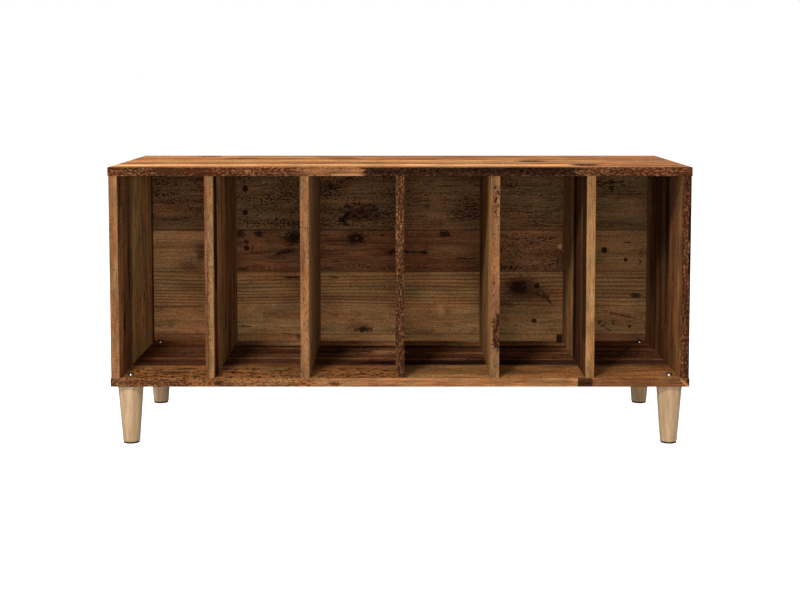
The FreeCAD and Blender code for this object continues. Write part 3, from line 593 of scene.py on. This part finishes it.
# The left and the right face of each upright
walls_print = {
    "left_side": (outer_face, left_wall), "divider_1": (plain_face, divider_1_right),
    "divider_2": (plain_face, divider_2_right), "divider_3": (plain_face, plain_face),
    "divider_4": (divider_4_left, plain_face), "divider_5": (divider_5_left, plain_face),
    "right_side": (right_wall, outer_face),
}
# Bare rear edges and the bare rear face of the back: two colours, and the size of the flakes along X and Z
chipboard = ("7f6647", "bfa077")
flat_chipboard, upright_chipboard = (*chipboard, 5.0, 1.5), (*chipboard, 1.5, 5.0)
hardboard = ("5f4732", "806448", 1.5, 1.3)
# The narrow bands show a finer grain; the walls and the top and floor are met at a low angle and show a wider one
BAND, WALL, LEVEL = (0.46, 0.62), (1, 2.2), (1, 2.6)
wall_finish = {}
for number, name in enumerate(walls_print):
    left, right = walls_print[name]
    rear = upright_chipboard if name.endswith("side") else None
    wall_finish[name] = old_wood(name, "Z", "Y", number, left, right, rear, spread=WALL)
    dress(f"{name}_panel", wall_finish[name])
    dress(f"{name}_front_band", old_wood(f"{name}_band", "Z", "X", 20 + number, bands_print[name], spread=BAND))
dress("top_panel", old_wood("top", "X", "Y", 30, top_print, raw_rear=flat_chipboard, spread=LEVEL))
dress("bottom_panel", old_wood("floor", "X", "Y", 31, floor_print, raw_rear=flat_chipboard, spread=LEVEL))
dress("back_panel", old_wood("back", "X", "Z", 32, back_print, raw_rear=hardboard))
dress("top_front_band", old_wood("top_band", "X", "Z", 33, bands_print["top_front"], spread=BAND))
dress("bottom_front_band", old_wood("bottom_band", "X", "Z", 34, bands_print["bottom_front"], spread=BAND))
end_finish = old_wood("end_band", "Y", "Z", 35, {"base": TAN, "stains": [0.6], "pits": [0.3]})
for level in ("top", "bottom"):
    for end in ("left", "right"):
        dress(f"{level}_{end}_end_band", end_finish)


def fine_finish(name, dark, light, size, metallic, smooth, rough, level, relief):
    """A finish of one substance: two close colours, gloss and relief that follow a grain of a size in millimetres."""
    material, tree, shader = new_material(name)
    place = add(tree, "TexCoord").outputs["Object"]
    place = add(tree, "VectorMath DIVIDE", [place, [part / PER_METRE for part in size]])
    mottle = add(tree, "TexNoise", {"Vector": place, "Scale": 1.0, "Detail": 3.0})
    mottle = add(tree, "MapRange", {"Value": mottle, **span(0.32, 0.68)})
    color = add(tree, "Mix RGBA", {0: mottle, 6: hex_color(dark), 7: hex_color(light)})
    gloss = add(tree, "MapRange", {"Value": mottle, "To Min": rough, "To Max": smooth})
    bump = add(tree, "Bump", {"Height": mottle, "Strength": 0.2, "Distance": relief / PER_METRE})
    fill(tree, shader, {
        "Base Color": color, "Roughness": gloss, "Normal": bump, "Metallic": metallic, "Specular IOR Level": level,
    })
    return material


# Nickel plate is warm with a soft gloss, zinc plate is bluish and satin, and a zinc casting is dull and grey
nickel = fine_finish("nickel_plated_steel", "6f6a62", "88827a", (2, 2, 2), 1.0, 0.28, 0.36, 0.5, 0.02)
zinc_plate = fine_finish("zinc_plated_steel", "8d9092", "aeb0b0", (1.5, 1.5, 1.5), 1.0, 0.28, 0.42, 0.5, 0.03)
zinc_cast = fine_finish("zinc_casting", "74767a", "8e9093", (0.9, 0.9, 0.9), 1.0, 0.45, 0.6, 0.5, 0.05)
# Polypropylene moulding, charcoal, with a fine spark-eroded texture
glide_plastic = fine_finish("moulded_polypropylene", "0f0e0d", "1a1817", (0.8, 0.8, 0.8), 0.0, 0.55, 0.7, 0.2, 0.05)
# Plain beech dowels, unfinished and dry
dowel_wood = fine_finish("plain_beech", "b08a5c", "cfae80", (1.2, 1.2, 14), 0.0, 0.65, 0.8, 0.2, 0.1)
for node, material in {
    "cam_locks": zinc_cast, "leg_inserts": zinc_cast, "cam_bolts": zinc_plate, "long_screws": zinc_plate,
    "top_dowels": dowel_wood, "bottom_dowels": dowel_wood,
}.items():
    dress(node, material)


def lacquered_beech():
    """Turned beech under clear matt lacquer: straw coloured, with broad soft bands and short dark flecks."""
    material, tree, shader = new_material("lacquered_beech")
    place = add(tree, "TexCoord").outputs["Object"]
    noises = []
    # Growth bands 9 mm wide, fibres 1.6 mm wide and flecks 1.2 mm wide, all drawn out along the leg
    for size, detail in (((9, 14, 150), 1.0), ((1.6, 1.6, 60), 2.0), ((1.4, 1.2, 9), 1.0)):
        grid = add(tree, "VectorMath DIVIDE", [place, [part / PER_METRE for part in size]])
        noises.append(add(tree, "TexNoise", {"Vector": grid, "Scale": 1.0, "Detail": detail}))
    bands = add(tree, "MapRange", {"Value": noises[0], **span(0.32, 0.68)})
    color = add(tree, "Mix RGBA", {0: bands, 6: hex_color("796245"), 7: hex_color("8f765a")})
    pale, dark = 1.12, 0.86
    fibre = add(tree, "MapRange", {"Value": noises[1], **span(0.3, 0.7, dark, pale)})
    color = add(tree, "VectorMath SCALE", {0: color, "Scale": fibre})
    fleck = add(tree, "MapRange SMOOTHSTEP", {"Value": noises[2], **span(0.66, 0.74, 0.0, 0.45)})
    color = add(tree, "Mix RGBA", {0: fleck, 6: color, 7: hex_color("5f4528")})
    gloss = add(tree, "MapRange", {"Value": fibre, **span(dark, pale, 0.52, 0.42)})
    bump = add(tree, "Bump", {"Height": fibre, "Strength": 0.15, "Distance": 0.0002})
    fill(tree, shader, {"Base Color": color, "Roughness": gloss, "Normal": bump, "Specular IOR Level": 0.15})
    return material


def smooth_piece(name, mesh, slot, *nodes):
    """Shades a finished mesh smooth up to its sharp rims, and puts it in the place of its CAD nodes."""
    mesh.polygons.foreach_set("use_smooth", [True] * len(mesh.polygons))
    mesh.set_sharp_from_angle(angle=math.radians(35))
    piece = bpy.data.objects.new(name, mesh)
    scene.collection.objects.link(piece)
    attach(piece, "root")
    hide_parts(*nodes)


def turned(name, node, outline, material, slot):
    """Turns an outline of radius and height, in metres, round the upright middle line of its CAD node."""
    low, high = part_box(node)
    x, y = (low.x + high.x) / 2, (low.y + high.y) / 2
    shape = bmesh.new()
    steps = 72
    turns = [2 * math.pi * step / steps for step in range(steps)]
    rings = []
    for radius, level in outline:
        if radius == 0:
            rings.append([shape.verts.new((x, y, level))] * steps)
        else:
            ring = [(x + radius * math.cos(turn), y + radius * math.sin(turn), level) for turn in turns]
            rings.append([shape.verts.new(point) for point in ring])
    for lower, upper in zip(rings, rings[1:]):
        for step in range(steps):
            corners = [lower[step - 1], lower[step], upper[step], upper[step - 1]]
            shape.faces.new(list(dict.fromkeys(corners)))
    bmesh.ops.recalc_face_normals(shape, faces=shape.faces)
    mesh = bpy.data.meshes.new(name)
    shape.to_mesh(mesh)
    shape.free()
    mesh.materials.append(material)
    smooth_piece(name, mesh, slot, node)


def eased(corner, before, after, steps=5):
    """Points of a small rounded corner between two neighbouring points of an outline."""
    a, b, c = Vector(before), Vector(corner), Vector(after)
    return [tuple(a.lerp(b, t).lerp(b.lerp(c, t), t)) for t in [step / steps for step in range(steps + 1)]]


# Legs: straight taper with a rounded foot, on a glide with a rounded rim
CORNERS = ("front_left", "front_right", "rear_left", "rear_right")
FOOT_RADIUS, FOOT_EASE, RIM_EASE, TOP_EASE = 0.0145, 0.0016, 0.0007, 0.0004
beech = lacquered_beech()
for corner in CORNERS:
    low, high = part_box(f"leg_{corner}")
    foot, top = low.z, high.z
    wide = (high.x - low.x) / 2
    swell, rise = wide - FOOT_RADIUS, top - foot
    outline = [(0, foot)]
    outline += eased(
        (FOOT_RADIUS, foot), (FOOT_RADIUS - FOOT_EASE, foot),
        (FOOT_RADIUS + FOOT_EASE * (swell / rise), foot + FOOT_EASE),
    )
    outline += [(FOOT_RADIUS + swell * share, foot + rise * share) for share in (0.2, 0.4, 0.6, 0.8, 0.992)]
    outline += [(wide - TOP_EASE, top), (0, top)]
    turned(f"turned_leg_{corner}", f"leg_{corner}", outline, beech, "leg_wood")
    low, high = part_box(f"glide_{corner}")
    pad = (high.x - low.x) / 2
    outline = [(0, low.z)]
    outline += eased((pad, low.z), (pad - RIM_EASE, low.z), (pad, low.z + RIM_EASE))
    outline += [(pad, foot), (0, foot)]
    turned(f"moulded_glide_{corner}", f"glide_{corner}", outline, glide_plastic, "glide_plastic")


def give_out(tree, given, result, shape, spin=None):
    """Ends a tree of nodes: its shape at every place, spun if asked, as one mesh with its finish."""
    made = add(tree, "GeometryNodeInstanceOnPoints", {
        "Points": given["Places"], "Instance": shape, "Rotation": given["Tilt"],
    })
    if spin:
        made = add(tree, "GeometryNodeRotateInstances", {"Instances": made, "Rotation": spin, "Local Space": True})
    made = add(tree, "GeometryNodeRealizeInstances", [made])
    made = add(tree, "GeometryNodeSetMaterial", {"Geometry": made, "Material": given["Finish"]})
    fill(tree, result, [made])


# Heads driven into the boards: a dome on a shank, with a hexagon socket or a cross recess, each turned at random
ARM_SHARE = 0.22
heads, given, result = new_group("driven_heads", "GeometryNodeTree", {
    "Places": "Geometry", "Head diameter": "Float", "Head height": "Float", "Shank diameter": "Float",
    "Shank length": "Float", "Recess width": "Float", "Recess depth": "Float", "Cross recess": "Bool",
    "Tilt": "Rotation", "Seed": "Int", "Finish": "Material",
}, {"Geometry": "Geometry"})
half, thin, sink, deep, arm = [
    add(heads, "Math MULTIPLY", [given[name], share])
    for name, share in (
        ("Head diameter", 0.5), ("Shank diameter", 0.5), ("Shank length", -0.5), ("Recess depth", 2.0),
        ("Recess width", ARM_SHARE),
    )
]
ball = add(heads, "GeometryNodeMeshUVSphere", {"Segments": 36, "Rings": 20, "Radius": 1.0})
point = add(heads, "SeparateXYZ", [add(heads, "GeometryNodeInputPosition")])
above = add(heads, "Math MAXIMUM", [point.outputs["Z"], 0.0])
flat = add(heads, "CombineXYZ", [point.outputs["X"], point.outputs["Y"], above])
size = add(heads, "CombineXYZ", [half, half, given["Head height"]])
domed = add(heads, "VectorMath MULTIPLY", [flat, size])
dome = add(heads, "GeometryNodeSetPosition", {"Geometry": ball, "Position": domed})
raise_to = add(heads, "CombineXYZ", {2: given["Head height"]})
corner = add(heads, "Math DIVIDE", [given["Recess width"], math.sqrt(3)])
cuts = [add(heads, "GeometryNodeMeshCylinder", {"Vertices": 6, "Radius": corner, "Depth": deep})]
for long_way in (0, 1):
    bar = add(heads, "CombineXYZ", {long_way: given["Recess width"], 1 - long_way: arm, 2: deep})
    cuts.append(add(heads, "GeometryNodeMeshCube", {"Size": bar}))
socket, *arms = [add(heads, "GeometryNodeTransform", {"Geometry": cut, "Translation": raise_to}) for cut in cuts]
recessed = {}
for crossed, tools in (("False", [socket]), ("True", arms)):
    recessed[crossed] = dome
    for tool in tools:
        recessed[crossed] = add(heads, "GeometryNodeMeshBoolean DIFFERENCE", {
            "Mesh 1": recessed[crossed], "Mesh 2": tool,
        }, solver="EXACT")
head = add(heads, "GeometryNodeSwitch", {"Switch": given["Cross recess"], **recessed}, input_type="GEOMETRY")
shank = add(heads, "GeometryNodeMeshCylinder", {"Vertices": 24, "Radius": thin, "Depth": given["Shank length"]})
sink = add(heads, "CombineXYZ", {2: sink})
shank = add(heads, "GeometryNodeTransform", {"Geometry": shank, "Translation": sink})
whole = add(heads, "GeometryNodeJoinGeometry", {"Geometry": head})
fill(heads, whole, {"Geometry": shank})
spin = add(heads, "FunctionNodeRandomValue", {2: 0.0, 3: 2 * math.pi, "Seed": given["Seed"]}, data_type="FLOAT")
give_out(heads, given, result, whole, add(heads, "CombineXYZ", {2: spin}))

# Stick-on foil discs over the cams
discs, given, result = new_group("foil_discs", "GeometryNodeTree", {
    "Places": "Geometry", "Diameter": "Float", "Thickness": "Float", "Tilt": "Rotation", "Finish": "Material",
}, {"Geometry": "Geometry"})
half = add(discs, "Math MULTIPLY", [given["Diameter"], 0.5])
disc = add(discs, "GeometryNodeMeshCylinder", {"Vertices": 48, "Radius": half, "Depth": given["Thickness"]})
give_out(discs, given, result, disc)


def set_out(name, tree, places, slot, node, **sizes):
    """Sets a node tree's shape at every place, as one plain mesh that stands for a CAD node."""
    seats = bpy.data.meshes.new(name + "_seats")
    seats.from_pydata(places, [], [])
    maker = bpy.data.objects.new(name + "_maker", seats)
    scene.collection.objects.link(maker)
    modifier = maker.modifiers.new(name, "NODES")
    modifier.node_group = tree
    for socket in tree.interface.items_tree:
        key = socket.name.lower().replace(" ", "_")
        if socket.in_out == "INPUT" and key in sizes:
            modifier[socket.identifier] = sizes[key]
    graph = bpy.context.evaluated_depsgraph_get()
    mesh = bpy.data.meshes.new_from_object(maker.evaluated_get(graph))
    maker.modifiers.clear()
    bpy.data.objects.remove(maker)
    smooth_piece(name, mesh, slot, node)


floor_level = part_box("bottom_panel")[1].z
rear_of_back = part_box("back_panel")[1].y
legs = [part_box(f"leg_{corner}") for corner in CORNERS]
set_out(
    "leg_bolts_domed", heads, [((low.x + high.x) / 2, (low.y + high.y) / 2, floor_level) for low, high in legs],
    "bright_steel", "leg_bolts", head_diameter=0.012, head_height=0.0045, shank_diameter=0.006, shank_length=0.031,
    recess_width=0.004, recess_depth=0.0024, cross_recess=False, seed=3, finish=nickel,
)
# Three screws up each divider, at the middles of the thirds of a bay's height
BAY_FLOOR, BAY_HEIGHT = 0.119, 0.35
dividers = [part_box(f"divider_{number}_panel") for number in range(1, 6)]
levels = [BAY_FLOOR + BAY_HEIGHT * (row + 0.5) / 3 for row in range(3)]
set_out(
    "back_screws_panhead", heads,
    [((low.x + high.x) / 2, rear_of_back, level) for low, high in dividers for level in levels],
    "plated_steel", "back_panel_screws", head_diameter=0.007, head_height=0.0022, shank_diameter=0.0035,
    shank_length=0.019, recess_width=0.0044, recess_depth=0.0012, cross_recess=True, tilt=(-math.pi / 2, 0, 0),
    seed=5, finish=zinc_plate,
)
# Each upright has its cam covers on one face: the way along X that this face looks
CAM_LEVEL, CAM_DEPTHS, FOIL = 0.445, (-0.139, 0.1248), 0.0004
cam_ways = {
    "left_side": 1, "divider_1": -1, "divider_2": -1, "divider_3": 1, "divider_4": 1, "divider_5": 1,
    "right_side": -1,
}
for name, way in cam_ways.items():
    low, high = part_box(f"{name}_panel")
    face = high.x if way > 0 else low.x
    set_out(
        f"cam_cover_{name}", discs, [(face + way * FOIL / 2, y, CAM_LEVEL) for y in CAM_DEPTHS], "decor_foil",
        "cam_covers", diameter=0.02, thickness=FOIL, tilt=(0, math.pi / 2, 0), finish=wall_finish[name],
    )


# Studio: white ground and surroundings, a wide light overhead, a low soft fill, a weak light from the left and a key
def stage_white(tree, lit):
    """The strength of a white that looks full to the camera and lights the scene with less."""
    seen = add(tree, "LightPath").outputs["Is Camera Ray"]
    return add(tree, "MapRange", {"Value": seen, "To Min": lit, "To Max": 1.0})


white = (1, 1, 1, 1)
floor_finish, tree, shader = new_material("white_ground")
fill(tree, shader, {
    "Base Color": (0.4, 0.4, 0.4, 1), "Roughness": 1.0, "Specular IOR Level": 0.0, "Emission Color": white,
    "Emission Strength": stage_white(tree, 0.34),
})
bpy.ops.mesh.primitive_plane_add(size=60)
ground = bpy.context.object
ground.name = "ground"
ground.data.materials.append(floor_finish)

world = bpy.data.worlds.new("studio")
scene.world = world
world.use_nodes = True
tree = world.node_tree
fill(tree, tree.nodes["Background"], {"Color": white, "Strength": stage_white(tree, 0.38)})

for name, place, aim, width, height, power in (
    ("overhead", (0, 0.2, 2.6), (0, 0.2, 0), 3.0, 3.0, 92),
    ("fill", (0.1, -4.0, 0.55), (0, 0, 0.25), 2.0, 1.0, 118),
    ("left", (-2.4, -1.4, 0.5), (0, -0.1, 0.15), 0.8, 0.8, 27),
    ("key", (-1.0, -2.9, 2.75), (0, 0, 0.3), 0.7, 0.7, 165),
):
    light = bpy.data.lights.new(name, "AREA")
    light.shape = "RECTANGLE"
    light.size, light.size_y, light.energy = width, height, power
    lamp = bpy.data.objects.new(name, light)
    lamp.location = place
    lamp.rotation_euler = (Vector(aim) - Vector(place)).to_track_quat("-Z", "Y").to_euler()
    scene.collection.objects.link(lamp)
scene.view_settings.view_transform = "Standard"

# The photo's camera, with a part of its shift as a small tilt, so that the other views keep the top in the picture
DOWN = 4.439
camera = bpy.data.objects.new("camera", bpy.data.cameras.new("camera"))
scene.collection.objects.link(camera)
camera.location = (0.0, -2.7141, 0.6376)
camera.rotation_euler = (math.radians(90 - DOWN), 0, 0)
camera.data.lens = 66.634
camera.data.shift_y = -0.135
scene.camera = camera
